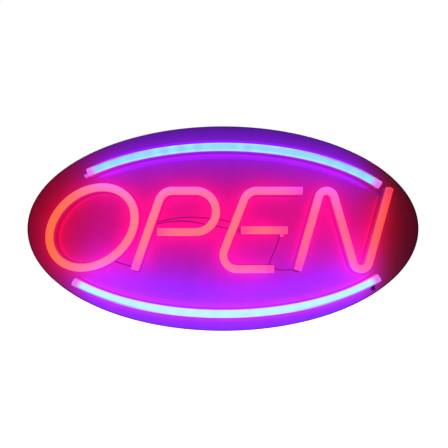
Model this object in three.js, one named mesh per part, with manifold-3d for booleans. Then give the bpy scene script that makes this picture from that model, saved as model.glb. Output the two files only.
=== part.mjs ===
// A wall-hung oval light-up sign: silicone light strips bent into a generic word and two
// border arcs on an acrylic board, with the switch, supply socket and wall fittings behind.
// Units are millimetres. +Z is up, +X is to the viewer's right and the lit side faces -Y.
// The origin is the centre of the board's rear face, midway between the tubes' crowns and the
// wall, which the rear fittings hold STANDOFF behind the board.

import * as THREE from 'three';
import { mergeVertices } from 'three/addons/utils/BufferGeometryUtils.js';
import Module from 'manifold-3d';

const wasm = await Module();
wasm.setup();

// ---------------------------------------------------------------- driving dimensions

const BOARD = { halfWidth: 200, halfHeight: 104.7, thickness: 5, edge: 0.4, sides: 128 };
const FRONT = -BOARD.thickness;

const FLEX = { width: 8, height: 15, dome: 3.4, channelWidth: 5.4, channelHeight: 2.6 };
const CAP = { length: 5, spigotLength: 2.5, spigotWidth: 4.8, spigotHeight: 2.2 };
const TAPE = { width: 5, thickness: 0.4, endGap: 0.5 };
const CHIP = { length: 3.5, width: 2.8, height: 1, pitch: 1000 / 60 };

const LETTER_TOP = 37.2;
const LETTER_BASE = -41;
const LETTER_MIDDLE = -2.2;
const CORNER_RADIUS = 13.9;
const BOWL_RADIUS = 20.6;
const POINT_RADIUS = 8;
const ARC_STEP = THREE.MathUtils.degToRad(14);

const UPPER_ARC = { halfWidth: 184, halfHeight: 81, fromX: -134.8, toX: 156.7, steps: 25 };
const LOWER_ARC = { halfWidth: 190.6, halfHeight: 85.6, fromX: -149.3, toX: 156, steps: 25 };
const RING = { x: -130.6, z: 0.6, halfWidth: 41.1, halfHeight: 40.1, lean: 0.264, steps: 34 };

const JUMPER = { radius: 0.55, height: 1.15, notchWidth: 1.8, notchHeight: 2 };
const LEAD_RADIUS = 0.7;
const POWER_LEAD_RADIUS = 1.6;
const UPPER_HOLE = { x: 158.1, z: 36.3, radius: 2.6 };
const POWER_HOLE = { x: 153.3, z: -61.8, radius: 2.3 };
const REAR_RUN_DEPTH = 2;
const LEAD_ENTRY = { x: 128.2, y: 5.4 };
const POWER_ENTRY = { y: 6, z: POWER_HOLE.z + 1.8 };
const CABLE_DROP = 37.7;

const BOX = { x: 112, z: -55, width: 56, height: 26, depth: 13.8, wall: 2, corner: 2.5 };
const COVER = { gap: 0.2, thickness: 2 };
const SCREW = { headRadius: 2.3, headHeight: 1.5, shankRadius: 1.15, length: 9, sink: 0.9 };
const AXIS_DEPTH = 8; // how far behind the board the switch, socket and plug are centred

const SWITCH = { x: 122, width: 13.4, depth: 9.2, length: 12, wall: 0.7, floor: 2 };
const BEZEL = { width: 15.4, depth: 11.2, thickness: 1.2 };
const ROCKER = { radius: 5.7, width: 7.4, pivotInset: 1.6, restTilt: -9, trunnion: 0.8 };
const LEVER = { length: 9.6, width: 3, thickness: 0.4, restTilt: 6, inset: 7 };
const BLADE = { width: 2.8, thickness: 0.5, tail: 4 };

const SOCKET = { z: -52, side: 10, length: 13, noseRadius: 4, boreRadius: 3.15, boreDepth: 11.8 };
const PIN = { radius: 1, tip: 2.3, length: 15.5 };
const PLUG = { radius: 2.75, bore: 1.25, length: 14, reach: 10, seat: 0.5 };
const GRIP = { radius: 5, length: 27, relief: 9, ribs: 3, ribPitch: 4, ribDepth: 0.6 };
const CABLE_RADIUS = 1.75;

const STANDOFF = 20;
const HANGER = { x: 110, z: 48, width: 30, height: 22, tape: 1, screwHead: 9, slot: 4.6 };
const FOOT = { x: 56, z: -79, radius: 7 };
const CLIP = { width: 12, length: 8, base: 1, tunnelWidth: 5.2, tunnelHeight: 2.8, wall: 1.1 };

// ---------------------------------------------------------------- materials

function material(color, roughness, metalness) {
  return new THREE.MeshStandardMaterial({ color, roughness, metalness });
}

const boardAcrylic = material(0xd8007a, 0.12, 0);
const warmSilicone = material(0xff7a52, 0.45, 0);
const iceSilicone = material(0xa8f2f8, 0.45, 0);
const capSilicone = material(0xf088d8, 0.5, 0);
const stripFilm = material(0xf2efe2, 0.55, 0);
const jumperSheath = material(0x3a0f3c, 0.5, 0);
const leadSheath = material(0x171519, 0.5, 0);
const clearAcrylic = material(0xdfe6ea, 0.1, 0);
const blackPlastic = material(0x1d1d20, 0.45, 0);
const rockerPlastic = material(0xb3141a, 0.3, 0);
const feetRubber = material(0x2b2b2d, 0.8, 0);
const foamTape = material(0xece9df, 0.9, 0);
const platedSteel = material(0xb9bcc0, 0.3, 1);
const brassContact = material(0xc9a24b, 0.35, 1);
const circuitGreen = material(0x1f6b45, 0.5, 0);

// ---------------------------------------------------------------- solids: joining and cutting

function toSolid(geometry) {
  const bare = geometry.clone();
  bare.deleteAttribute('normal');
  bare.deleteAttribute('uv');
  const merged = mergeVertices(bare, 1e-4);
  const vertProperties = new Float32Array(merged.attributes.position.array);
  const triVerts = new Uint32Array(merged.index.array);
  return new wasm.Manifold(new wasm.Mesh({ numProp: 3, vertProperties, triVerts }));
}

function toGeometry(solid) {
  const mesh = solid.getMesh();
  const geometry = new THREE.BufferGeometry();
  geometry.setAttribute('position', new THREE.BufferAttribute(mesh.vertProperties, 3));
  geometry.setIndex(new THREE.BufferAttribute(mesh.triVerts, 1));
  geometry.computeVertexNormals();
  return geometry;
}

function join(...geometries) {
  return toGeometry(geometries.map(toSolid).reduce((whole, piece) => whole.add(piece)));
}

function cut(geometry, ...tools) {
  return toGeometry(tools.map(toSolid).reduce((rest, tool) => rest.subtract(tool), toSolid(geometry)));
}

// ---------------------------------------------------------------- simple shapes in place

// A box given by its centre and its full sizes along X, Y and Z.
function block(x, y, z, sizeX, sizeY, sizeZ) {
  return new THREE.BoxGeometry(sizeX, sizeY, sizeZ).translate(x, y, z);
}

// A round bar along X or Y, given by its centre.
function rod(axis, x, y, z, radius, length, sides = 16) {
  const geometry = new THREE.CylinderGeometry(radius, radius, length, sides);
  if (axis === 'x') geometry.rotateZ(Math.PI / 2);
  return geometry.translate(x, y, z);
}

// An outline drawn in X and Z, spanning from yFront to yRear. Each of its arcs gets arcSteps
// steps; three.js draws an arc with two steps for each curve segment.
function plate(shape, yFront, yRear, arcSteps = 4) {
  const settings = { depth: yRear - yFront, bevelEnabled: false, curveSegments: arcSteps / 2 };
  const geometry = new THREE.ExtrudeGeometry(shape, settings);
  return geometry.rotateX(Math.PI / 2).translate(0, yRear, 0);
}

function roundedRectangle(x, z, width, height, radius) {
  const right = x + width / 2 - radius;
  const left = x - width / 2 + radius;
  const top = z + height / 2 - radius;
  const bottom = z - height / 2 + radius;
  const quarter = Math.PI / 2;
  const shape = new THREE.Shape();
  shape.absarc(right, top, radius, 0, quarter);
  shape.absarc(left, top, radius, quarter, 2 * quarter);
  shape.absarc(left, bottom, radius, 2 * quarter, 3 * quarter);
  shape.absarc(right, bottom, radius, 3 * quarter, 4 * quarter);
  return shape;
}

// An upright slot with round ends, rising from its lower centre.
function slotShape(x, z, rise, radius) {
  const shape = new THREE.Shape();
  shape.absarc(x, z + rise, radius, 0, Math.PI);
  shape.absarc(x, z, radius, Math.PI, 2 * Math.PI);
  return shape;
}

// A turned piece: profile points are [radius, distance along +X from the origin].
function turnedAlongX(profile, segments = 24) {
  const points = profile.map(([radius, along]) => new THREE.Vector2(radius, along));
  return new THREE.LatheGeometry(points, segments).rotateZ(-Math.PI / 2);
}

// ---------------------------------------------------------------- strokes on the board

// A stroke is a list of stations {x, z, heading}, all in the board's plane.

// Straight runs and bends: each stop is a bend's centre with its signed radius in turn,
// positive when the stroke turns clockwise. The first and the last stop are plain ends.
function bentStroke(stops) {
  const headings = [];
  for (let i = 1; i < stops.length; i += 1) {
    const from = stops[i - 1];
    const to = stops[i];
    const run = new THREE.Vector2(to.x - from.x, to.z - from.z);
    const lean = Math.asin((from.turn - to.turn) / run.length());
    headings.push(Math.atan2(run.y, run.x) - lean);
  }
  const stations = [];
  stops.forEach((stop, i) => {
    const headingIn = headings[Math.max(i - 1, 0)];
    const headingOut = headings[Math.min(i, headings.length - 1)];
    let sweep = headingOut - headingIn;
    if (stop.turn > 0 && sweep > 0) sweep -= 2 * Math.PI;
    if (stop.turn < 0 && sweep < 0) sweep += 2 * Math.PI;
    const steps = Math.ceil(Math.abs(sweep) / ARC_STEP);
    for (let k = 0; k <= steps; k += 1) {
      const heading = headingIn + (steps ? (sweep * k) / steps : 0);
      const x = stop.x - stop.turn * Math.sin(heading);
      const z = stop.z + stop.turn * Math.cos(heading);
      stations.push({ x, z, heading });
    }
  });
  return stations;
}

// Part of a leaning ellipse between two parameter angles.
function ellipseStroke({ x = 0, z = 0, halfWidth, halfHeight, lean = 0, steps }, start, end) {
  const stations = [];
  const direction = Math.sign(end - start);
  let previous = null;
  for (let i = 0; i <= steps; i += 1) {
    const angle = start + ((end - start) * i) / steps;
    const rise = halfHeight * Math.sin(angle);
    const run = halfWidth * Math.cos(angle) + lean * rise;
    const dz = halfHeight * Math.cos(angle) * direction;
    const dx = -halfWidth * Math.sin(angle) * direction + lean * dz;
    let heading = Math.atan2(dz, dx);
    if (previous !== null) heading += 2 * Math.PI * Math.round((previous - heading) / (2 * Math.PI));
    previous = heading;
    stations.push({ x: x + run, z: z + rise, heading });
  }
  return stations;
}

function splineStroke(points, steps = 9) {
  const curve = new THREE.SplineCurve(points.map(([x, z]) => new THREE.Vector2(x, z)));
  const stations = [];
  for (let i = 0; i <= steps; i += 1) {
    const point = curve.getPointAt(i / steps);
    const tangent = curve.getTangentAt(i / steps);
    stations.push({ x: point.x, z: point.y, heading: Math.atan2(tangent.y, tangent.x) });
  }
  return stations;
}

function distances(stroke) {
  const marks = [0];
  for (let i = 1; i < stroke.length; i += 1) {
    const step = Math.hypot(stroke[i].x - stroke[i - 1].x, stroke[i].z - stroke[i - 1].z);
    marks.push(marks[i - 1] + step);
  }
  return marks;
}

function strokeLength(stroke) {
  return distances(stroke).at(-1);
}

function stationAt(stroke, distance) {
  const marks = distances(stroke);
  const next = Math.max(1, Math.min(marks.findIndex((mark) => mark > distance), stroke.length - 1));
  const last = marks.at(-1) <= distance ? stroke.length - 1 : next;
  const a = stroke[last - 1];
  const b = stroke[last];
  const share = (distance - marks[last - 1]) / (marks[last] - marks[last - 1]);
  return {
    x: THREE.MathUtils.lerp(a.x, b.x, share),
    z: THREE.MathUtils.lerp(a.z, b.z, share),
    heading: THREE.MathUtils.lerp(a.heading, b.heading, share),
  };
}

function slice(stroke, from, to) {
  const clear = 0.05;
  const marks = distances(stroke);
  const inside = stroke.filter((_, i) => marks[i] > from + clear && marks[i] < to - clear);
  return [stationAt(stroke, from), ...inside, stationAt(stroke, to)];
}

// The path of a sweep that stays square to the board: profile X runs across the stroke
// and profile Y stands out from the board's face.
class BoardPath extends THREE.Curve {
  constructor(stroke) {
    super();
    this.stroke = stroke;
  }

  getSpacedPoints() {
    return this.stroke.map(({ x, z }) => new THREE.Vector3(x, FRONT, z));
  }

  computeFrenetFrames() {
    const cosines = this.stroke.map(({ heading }) => Math.cos(heading));
    const sines = this.stroke.map(({ heading }) => Math.sin(heading));
    return {
      tangents: cosines.map((c, i) => new THREE.Vector3(c, 0, sines[i])),
      normals: cosines.map((c, i) => new THREE.Vector3(-sines[i], 0, c)),
      binormals: cosines.map(() => new THREE.Vector3(0, -1, 0)),
    };
  }
}

function sweep(stroke, shape, arcSteps = 8) {
  const extrudePath = new BoardPath(stroke);
  const settings = { steps: stroke.length - 1, extrudePath, curveSegments: arcSteps / 2 };
  return new THREE.ExtrudeGeometry(shape, settings);
}

function barShape(width, low, high) {
  const half = width / 2;
  return new THREE.Shape([
    new THREE.Vector2(-half, low),
    new THREE.Vector2(half, low),
    new THREE.Vector2(half, high),
    new THREE.Vector2(-half, high),
  ]);
}

function roundShape(radius, height) {
  return new THREE.Shape().absarc(0, height, radius, 0, 2 * Math.PI);
}

function domeShape(hollow) {
  const half = FLEX.width / 2;
  const inner = FLEX.channelWidth / 2;
  const shape = new THREE.Shape().moveTo(-half, 0);
  if (hollow) {
    shape.lineTo(-inner, 0);
    shape.lineTo(-inner, FLEX.channelHeight);
    shape.lineTo(inner, FLEX.channelHeight);
    shape.lineTo(inner, 0);
  }
  shape.lineTo(half, 0);
  shape.absellipse(0, FLEX.height - FLEX.dome, half, FLEX.dome, 0, Math.PI);
  return shape;
}

// ---------------------------------------------------------------- the strokes of the sign

function arcStroke(arc, side) {
  const start = side * Math.acos(arc.fromX / arc.halfWidth);
  const end = side * Math.acos(arc.toX / arc.halfWidth);
  return ellipseStroke(arc, start, end);
}

function ringStroke() {
  const seam = THREE.MathUtils.degToRad(-68);
  const halfGap = THREE.MathUtils.degToRad(0.4);
  return ellipseStroke(RING, seam + halfGap, seam + 2 * Math.PI - halfGap);
}

const bowlCentre = { x: -27.5, z: LETTER_TOP - BOWL_RADIUS };
const cornerTop = LETTER_TOP - CORNER_RADIUS;
const cornerBase = LETTER_BASE + CORNER_RADIUS;

const strokes = {
  upper_arc: arcStroke(UPPER_ARC, 1),
  lower_arc: arcStroke(LOWER_ARC, -1),
  letter_o: ringStroke(),
  letter_p: bentStroke([
    { x: -88.3, z: LETTER_BASE - 0.8, turn: 0 },
    { x: -50.6, z: cornerTop, turn: CORNER_RADIUS },
    { ...bowlCentre, turn: BOWL_RADIUS },
    { x: -65.5, z: bowlCentre.z - BOWL_RADIUS, turn: 0 },
  ]),
  letter_e: bentStroke([
    { x: 79.4, z: LETTER_TOP, turn: 0 },
    { x: 34, z: cornerTop, turn: -CORNER_RADIUS },
    { x: 14.2, z: cornerBase, turn: -CORNER_RADIUS },
    { x: 51.1, z: LETTER_BASE, turn: 0 },
  ]),
  letter_e_bar: bentStroke([
    { x: 18.1, z: LETTER_MIDDLE, turn: 0 },
    { x: 64.5, z: LETTER_MIDDLE, turn: 0 },
  ]),
  letter_n: bentStroke([
    { x: 74.5, z: LETTER_BASE - 1.2, turn: 0 },
    { x: 103.3, z: LETTER_TOP - POINT_RADIUS, turn: POINT_RADIUS },
    { x: 137.8, z: LETTER_BASE + POINT_RADIUS, turn: -POINT_RADIUS },
    { x: 166.3, z: 40, turn: 0 },
  ]),
};

// Thin wires on the board's face, from strip to strip, through notches in the pieces they enter.
const jumpers = {
  jumper_o_p: {
    path: [[-110.6, -33.2], [-101, -36.4], [-90.8, -39]],
    enters: ['letter_o_diffuser', 'letter_p_start_cap', 'letter_p_diffuser'],
  },
  jumper_p_e_high: {
    path: [[-69.1, 6.2], [-53, 9.6], [-36, 11.7], [-13, 10.3], [-2, 9.1], [11.5, 5.3]],
    enters: ['letter_p_diffuser', 'letter_e_diffuser'],
  },
  jumper_p_e_low: {
    path: [[-69.9, 4], [-50, 7.6], [-30, 6.9], [-21, 4.6], [-6, 2.3], [9.5, -1]],
    enters: ['letter_p_diffuser', 'letter_e_diffuser'],
  },
  jumper_e_bar: {
    path: [[58.2, -5.2], [54, -19], [48.6, -31.4], [46.8, -37.7]],
    enters: ['letter_e_bar_diffuser', 'letter_e_end_cap', 'letter_e_diffuser'],
  },
  jumper_e_n: {
    path: [[51.5, -40.6], [60, -42.3], [71.3, -41.7]],
    enters: ['letter_n_start_cap'],
  },
};

// ---------------------------------------------------------------- light strips

function isRing(name) {
  return name === 'letter_o';
}

function tubeStroke(name) {
  const stroke = strokes[name];
  const trim = isRing(name) ? 0 : CAP.length;
  return slice(stroke, trim, strokeLength(stroke) - trim);
}

function jumperStroke(name) {
  return splineStroke(jumpers[name].path);
}

// Cuts a piece wherever a wire runs into it, with a little room round the wire.
function notched(name, geometry) {
  const room = 0.3;
  const entering = Object.keys(jumpers).filter((jumper) => jumpers[jumper].enters.includes(name));
  const notchShape = barShape(JUMPER.notchWidth, -1, JUMPER.notchHeight);
  const tools = entering.map((jumper) => sweep(jumperStroke(jumper), notchShape));
  if (name.startsWith('lower_arc')) tools.push(powerLeadGeometry(POWER_LEAD_RADIUS + room));
  if (name.startsWith('letter_n')) tools.push(letterLeadGeometry(LEAD_RADIUS + room));
  return tools.length ? cut(geometry, ...tools) : geometry;
}

function ledStrip(name) {
  const stroke = strokes[name];
  const inset = isRing(name) ? 1 : CAP.length + CAP.spigotLength + TAPE.endGap;
  const length = strokeLength(stroke);
  const tape = sweep(slice(stroke, inset, length - inset), barShape(TAPE.width, 0, TAPE.thickness));
  const count = Math.floor((length - 2 * inset) / CHIP.pitch);
  const first = (length - (count - 1) * CHIP.pitch) / 2;
  const chips = [];
  const sunk = 0.1;
  for (let i = 0; i < count; i += 1) {
    const { x, z, heading } = stationAt(stroke, first + i * CHIP.pitch);
    const chip = new THREE.BoxGeometry(CHIP.length, CHIP.height + sunk, CHIP.width);
    const y = FRONT - TAPE.thickness - (CHIP.height - sunk) / 2;
    chips.push(chip.rotateY(-heading).translate(x, y, z));
  }
  return join(tape, ...chips);
}

function endCap(name, atStart) {
  const stroke = strokes[name];
  const length = strokeLength(stroke);
  const gap = 0.05;
  const overlap = 1;
  const reach = CAP.length + CAP.spigotLength;
  const along = atStart
    ? { cap: [0, CAP.length - gap], spigot: [CAP.length - overlap, reach] }
    : { cap: [length - CAP.length + gap, length], spigot: [length - reach, length - CAP.length + overlap] };
  const cap = sweep(slice(stroke, ...along.cap), domeShape(false));
  const spigot = sweep(slice(stroke, ...along.spigot), barShape(CAP.spigotWidth, 0.2, CAP.spigotHeight));
  return join(cap, spigot);
}

// The cap at the upper arc's left end carries the moulded-in tail of the strip.
function tailedEndCap() {
  const { x, z, heading } = strokes.upper_arc[0];
  const tail = { radius: 1.7, length: 5, height: 3, back: 1.5 };
  const stub = rod('x', -tail.back, 0, 0, tail.radius, tail.length, 14).rotateY(-heading);
  stub.translate(x, FRONT - tail.height, z);
  return join(endCap('upper_arc', true), stub);
}

function jumper(name) {
  return sweep(jumperStroke(name), roundShape(JUMPER.radius, JUMPER.height), 6);
}

// ---------------------------------------------------------------- cables

function cable(points, radius, steps, sides = 6) {
  const path = new THREE.CatmullRomCurve3(points.map(([x, y, z]) => new THREE.Vector3(x, y, z)));
  const shape = new THREE.Shape().absarc(0, 0, radius, 0, 2 * Math.PI);
  return new THREE.ExtrudeGeometry(shape, { steps, extrudePath: path, curveSegments: sides / 2 });
}

function powerLeadGeometry(radius) {
  const { x, z } = POWER_HOLE;
  const points = [
    [x - 1.6, FRONT - 2.1, z + 6.4],
    [x - 0.8, FRONT - 2.1, z + 4],
    [x - 0.1, FRONT - 1.2, z + 1.1],
    [x, FRONT + 2, z],
    [x, FRONT + 4, z],
    [x - 0.6, 2.2, z + 0.1],
    [x - 4, 5.4, z + 0.8],
    [boxRight + 3, POWER_ENTRY.y, POWER_ENTRY.z],
    [boxRight - 4, POWER_ENTRY.y, POWER_ENTRY.z],
  ];
  return cable(points, radius, 26, 8);
}

// The two thin leads share the upper hole and run side by side down the board's rear,
// through both clips and into the top of the control box.
const rearRun = [
  [UPPER_HOLE.x, FRONT + 1.5, UPPER_HOLE.z],
  [UPPER_HOLE.x, FRONT + 4.5, UPPER_HOLE.z],
  [159.6, REAR_RUN_DEPTH, 31.5],
  [159.6, REAR_RUN_DEPTH, 22],
  [157.6, REAR_RUN_DEPTH, 4],
  [149, REAR_RUN_DEPTH, -19],
  [137, REAR_RUN_DEPTH + 0.2, -33],
  [129.6, 5, -39.2],
  [LEAD_ENTRY.x, LEAD_ENTRY.y, -43],
  [LEAD_ENTRY.x, LEAD_ENTRY.y, -47.6],
];
const clipPoints = { upper: 4, lower: 5 };

function besideRun(side) {
  const shift = side * (LEAD_RADIUS + 0.4);
  return rearRun.map(([x, y, z]) => [x + shift, y, z]);
}

function arcLeadGeometry(radius) {
  const end = strokes.upper_arc.at(-1);
  const height = FRONT - 2;
  const ahead = (reach) => [
    end.x + reach * Math.cos(end.heading),
    height,
    end.z + reach * Math.sin(end.heading),
  ];
  const dive = [UPPER_HOLE.x - 0.6, FRONT - 1.2, UPPER_HOLE.z + 1];
  return cable([ahead(0.1), ahead(1.6), dive, ...besideRun(-1)], radius, 30);
}

function letterLeadGeometry(radius) {
  const height = FRONT - JUMPER.height - 0.2;
  const start = [UPPER_HOLE.x + 3.2, height, UPPER_HOLE.z - 2.2];
  const bend = [UPPER_HOLE.x + 2, height, UPPER_HOLE.z - 1.4];
  const dive = [UPPER_HOLE.x + 1.2, FRONT - 0.4, UPPER_HOLE.z - 0.5];
  return cable([start, bend, dive, ...besideRun(1)], radius, 30);
}

// From inside the plug's grip, out through its tail and down to the board's lower edge.
function supplyCable() {
  const straight = [8.3, 3.3, -1.3].map((inward) => [gripTail + inward, AXIS_DEPTH, SOCKET.z]);
  const falling = [12, 28, 46].map((fall) => [CABLE_DROP, AXIS_DEPTH, SOCKET.z - fall]);
  const bend = [CABLE_DROP + 2, AXIS_DEPTH, SOCKET.z - 4];
  return cable([...straight, bend, ...falling], CABLE_RADIUS, 20, 10);
}

function innerWire(side) {
  const socketEnd = boxLeft + BOX.wall + SOCKET.length;
  const y = AXIS_DEPTH + 1.6 * side;
  const z = SOCKET.z + 2.6 * side;
  return cable(
    [
      [socketEnd + 0.2, y, z],
      [socketEnd + 4, y, z],
      [socketEnd + 7.4, 5.3, SOCKET.z + 1 + 2.2 * side],
    ],
    LEAD_RADIUS,
    9,
  );
}

// A saddle over the two leads at one of the points of their run.
function cableClip(point) {
  const [x, , z] = rearRun[point];
  const [beforeX, , beforeZ] = rearRun[point - 1];
  const [afterX, , afterZ] = rearRun[point + 1];
  const heading = Math.atan2(afterZ - beforeZ, afterX - beforeX);
  const half = CLIP.width / 2;
  const tunnel = CLIP.tunnelWidth / 2;
  const shape = new THREE.Shape().moveTo(-half, 0);
  shape.lineTo(half, 0);
  shape.lineTo(half, CLIP.base);
  shape.lineTo(tunnel + CLIP.wall, CLIP.base);
  shape.absellipse(0, CLIP.base, tunnel + CLIP.wall, CLIP.tunnelHeight + CLIP.wall, 0, Math.PI);
  shape.lineTo(-half, CLIP.base);
  const window = new THREE.Path().moveTo(tunnel, CLIP.base);
  window.absellipse(0, CLIP.base, tunnel, CLIP.tunnelHeight, 0, Math.PI);
  shape.holes.push(window);
  const settings = { depth: CLIP.length, bevelEnabled: false, curveSegments: 5 };
  const geometry = new THREE.ExtrudeGeometry(shape, settings).translate(0, 0, -CLIP.length / 2);
  return geometry.rotateY(Math.PI / 2 - heading).translate(x, 0, z);
}

// ---------------------------------------------------------------- board

function board() {
  const outline = new THREE.Shape().absellipse(0, 0, BOARD.halfWidth, BOARD.halfHeight, 0, 2 * Math.PI);
  const settings = {
    depth: BOARD.thickness - 2 * BOARD.edge,
    bevelThickness: BOARD.edge,
    bevelSize: BOARD.edge,
    bevelOffset: -BOARD.edge,
    bevelSegments: 1,
    curveSegments: BOARD.sides / 2,
  };
  const panel = new THREE.ExtrudeGeometry(outline, settings);
  panel.rotateX(Math.PI / 2).translate(0, -BOARD.edge, 0);
  const holes = [UPPER_HOLE, POWER_HOLE].map(({ x, z, radius }) => rod('y', x, FRONT / 2, z, radius, 12));
  return cut(panel, ...holes);
}

// ---------------------------------------------------------------- control box

const boxRear = BOX.depth;
const boxBottom = BOX.z - BOX.height / 2;
const boxTop = BOX.z + BOX.height / 2;
const boxLeft = BOX.x - BOX.width / 2;
const boxRight = BOX.x + BOX.width / 2;
const coverRear = boxRear + COVER.gap + COVER.thickness;
const screwInset = 3.6;
const screwPlaces = [
  { x: boxLeft + screwInset, z: boxBottom + screwInset },
  { x: boxRight - screwInset, z: boxTop - screwInset },
];

function boxBase() {
  const outside = plate(roundedRectangle(BOX.x, BOX.z, BOX.width, BOX.height, BOX.corner), 0, boxRear);
  const { wall } = BOX;
  const inside = plate(
    roundedRectangle(BOX.x, BOX.z, BOX.width - 2 * wall, BOX.height - 2 * wall, 1),
    wall,
    boxRear + 1,
  );
  const bossRadius = 2.7;
  const bossDepth = (boxRear + 1) / 2;
  const bosses = screwPlaces.map(({ x, z }) => rod('y', x, bossDepth, z, bossRadius, boxRear - 1, 18));
  const pilots = screwPlaces.map(({ x, z }) => rod('y', x, boxRear, z, SCREW.shankRadius + 0.15, 20, 14));
  const clearance = 0.4;
  const openings = [
    block(SWITCH.x, AXIS_DEPTH, boxBottom, SWITCH.width + clearance, SWITCH.depth + clearance, 8),
    rod('x', boxLeft, AXIS_DEPTH, SOCKET.z, SOCKET.noseRadius + clearance / 2, 8),
    rod('x', boxRight, POWER_ENTRY.y, POWER_ENTRY.z, POWER_LEAD_RADIUS + clearance, 8),
    block(LEAD_ENTRY.x, LEAD_ENTRY.y, boxTop, 4.6, 3.2, 8),
  ];
  return cut(join(cut(outside, inside), ...bosses), ...pilots, ...openings);
}

function boxCover() {
  const outline = roundedRectangle(BOX.x, BOX.z, BOX.width, BOX.height, BOX.corner);
  const lid = plate(outline, boxRear + COVER.gap, coverRear);
  const tools = screwPlaces.flatMap(({ x, z }) => [
    rod('y', x, coverRear, z, SCREW.shankRadius + 0.2, 12, 14),
    rod('y', x, coverRear, z, SCREW.headRadius + 0.2, 2 * SCREW.sink),
  ]);
  return cut(lid, ...tools);
}

function coverScrew({ x, z }) {
  const seat = 0.05;
  const crown = 0.5;
  const { headRadius, headHeight, shankRadius, length } = SCREW;
  const profile = [
    [0, -length],
    [shankRadius * 0.6, -length],
    [shankRadius, 1 - length],
    [shankRadius, 0],
    [headRadius, 0],
    [headRadius, headHeight - crown],
    [headRadius * 0.7, headHeight],
    [0, headHeight],
  ].map(([radius, along]) => new THREE.Vector2(radius, along));
  const turned = new THREE.LatheGeometry(profile, 14);
  const slots = [
    block(0, headHeight, 0, 2.8, 1.4, 0.6),
    block(0, headHeight, 0, 0.6, 1.4, 2.8),
  ];
  return cut(turned, ...slots).translate(x, coverRear - SCREW.sink + seat, z);
}

function circuitBoard() {
  const x = 118;
  const z = boxTop - 7.2;
  const laminate = block(x, BOX.wall + 1.5, z, 27, 1.2, 9.6);
  const top = BOX.wall + 2.1;
  const feet = [-1, 1].map((side) => block(x + side * 12, BOX.wall + 0.5, z, 2, 1, 5));
  const regulator = block(x - 6, top + 1.1, z + 1, 6, 2.4, 4.6);
  const capacitor = rod('y', x - 0.2, top + 2, z + 1.2, 2.1, 4.2, 14);
  const resistors = [0, 1].map((i) => block(x + 4.6 + 2.6 * i, top + 0.2, z - 1.5, 1.6, 0.6, 0.9));
  return join(laminate, ...feet, regulator, capacitor, ...resistors);
}

// ---------------------------------------------------------------- rocker switch

const pivot = { x: SWITCH.x, y: AXIS_DEPTH, z: boxBottom - BEZEL.thickness + ROCKER.pivotInset };
const leverCentre = { x: SWITCH.x, y: AXIS_DEPTH, z: pivot.z + LEVER.inset };
const switchFloor = boxBottom + SWITCH.length;

function switchHousing() {
  const shell = block(
    SWITCH.x, AXIS_DEPTH, boxBottom + SWITCH.length / 2,
    SWITCH.width, SWITCH.depth, SWITCH.length,
  );
  const bezel = block(
    SWITCH.x, AXIS_DEPTH, boxBottom - BEZEL.thickness / 2,
    BEZEL.width, BEZEL.depth, BEZEL.thickness,
  );
  const mouth = boxBottom - BEZEL.thickness;
  const cavityDepth = switchFloor - SWITCH.floor - mouth;
  const cavity = block(
    SWITCH.x, AXIS_DEPTH, mouth + cavityDepth / 2 - 0.5,
    SWITCH.width - 2 * SWITCH.wall, SWITCH.depth - 2 * SWITCH.wall, cavityDepth + 1,
  );
  const trunnionHole = rod('y', pivot.x, pivot.y, pivot.z, ROCKER.trunnion + 0.2, 20, 16);
  const bladeSlots = [0, -4.2].map((offset) => block(
    SWITCH.x + offset, AXIS_DEPTH, switchFloor,
    BLADE.thickness + 0.2, BLADE.width + 0.2, 2 * SWITCH.floor + 2,
  ));
  return cut(join(shell, bezel), cavity, trunnionHole, ...bladeSlots);
}

// Rocker outline about its pivot: X along the rocker, Y out of the switch.
function rockerShape() {
  const tip = THREE.MathUtils.degToRad(34);
  const heel = THREE.MathUtils.degToRad(-20);
  const heelX = ROCKER.radius * Math.cos(heel);
  const heelY = ROCKER.radius * Math.sin(heel);
  const shape = new THREE.Shape();
  shape.absarc(0, 0, ROCKER.radius, heel, tip);
  shape.lineTo(0, 1.7);
  shape.absarc(0, 0, ROCKER.radius, Math.PI - tip, Math.PI - heel);
  shape.lineTo(-1.2, heelY);
  shape.absarc(0, -5, 0.9, Math.PI, 2 * Math.PI);
  shape.lineTo(1.2, heelY);
  shape.lineTo(heelX, heelY);
  return shape;
}

function rocker() {
  const settings = { depth: ROCKER.width, bevelEnabled: false, curveSegments: 3 };
  const body = new THREE.ExtrudeGeometry(rockerShape(), settings);
  body.rotateX(-Math.PI / 2).translate(0, -ROCKER.width / 2, 0);
  const trunnions = rod('y', 0, 0, 0, ROCKER.trunnion, ROCKER.width + 1.2, 16);
  const tilted = join(body, trunnions).rotateY(THREE.MathUtils.degToRad(ROCKER.restTilt));
  return tilted.translate(pivot.x, pivot.y, pivot.z);
}

function contactLever() {
  const half = LEVER.length / 2;
  const bow = 0.35;
  const shape = new THREE.Shape();
  shape.moveTo(-half, 0);
  shape.quadraticCurveTo(0, 2 * bow, half, 0);
  shape.lineTo(half, -LEVER.thickness);
  shape.quadraticCurveTo(0, 2 * bow - LEVER.thickness, -half, -LEVER.thickness);
  const settings = { depth: LEVER.width, bevelEnabled: false, curveSegments: 8 };
  const strip = new THREE.ExtrudeGeometry(shape, settings);
  strip.rotateX(Math.PI / 2).translate(0, LEVER.width / 2, 0);
  strip.rotateY(THREE.MathUtils.degToRad(LEVER.restTilt));
  return strip.translate(leverCentre.x, leverCentre.y, leverCentre.z);
}

function switchBlade(offset, topGap) {
  const start = leverCentre.z + topGap;
  const end = switchFloor + BLADE.tail;
  return block(
    SWITCH.x + offset, AXIS_DEPTH, (start + end) / 2,
    BLADE.thickness, BLADE.width, end - start,
  );
}

// ---------------------------------------------------------------- supply socket and plug

const socketMouth = boxLeft - 0.8;
const gripFace = socketMouth - PLUG.seat;
const gripTail = gripFace - GRIP.relief - GRIP.length;

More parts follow.
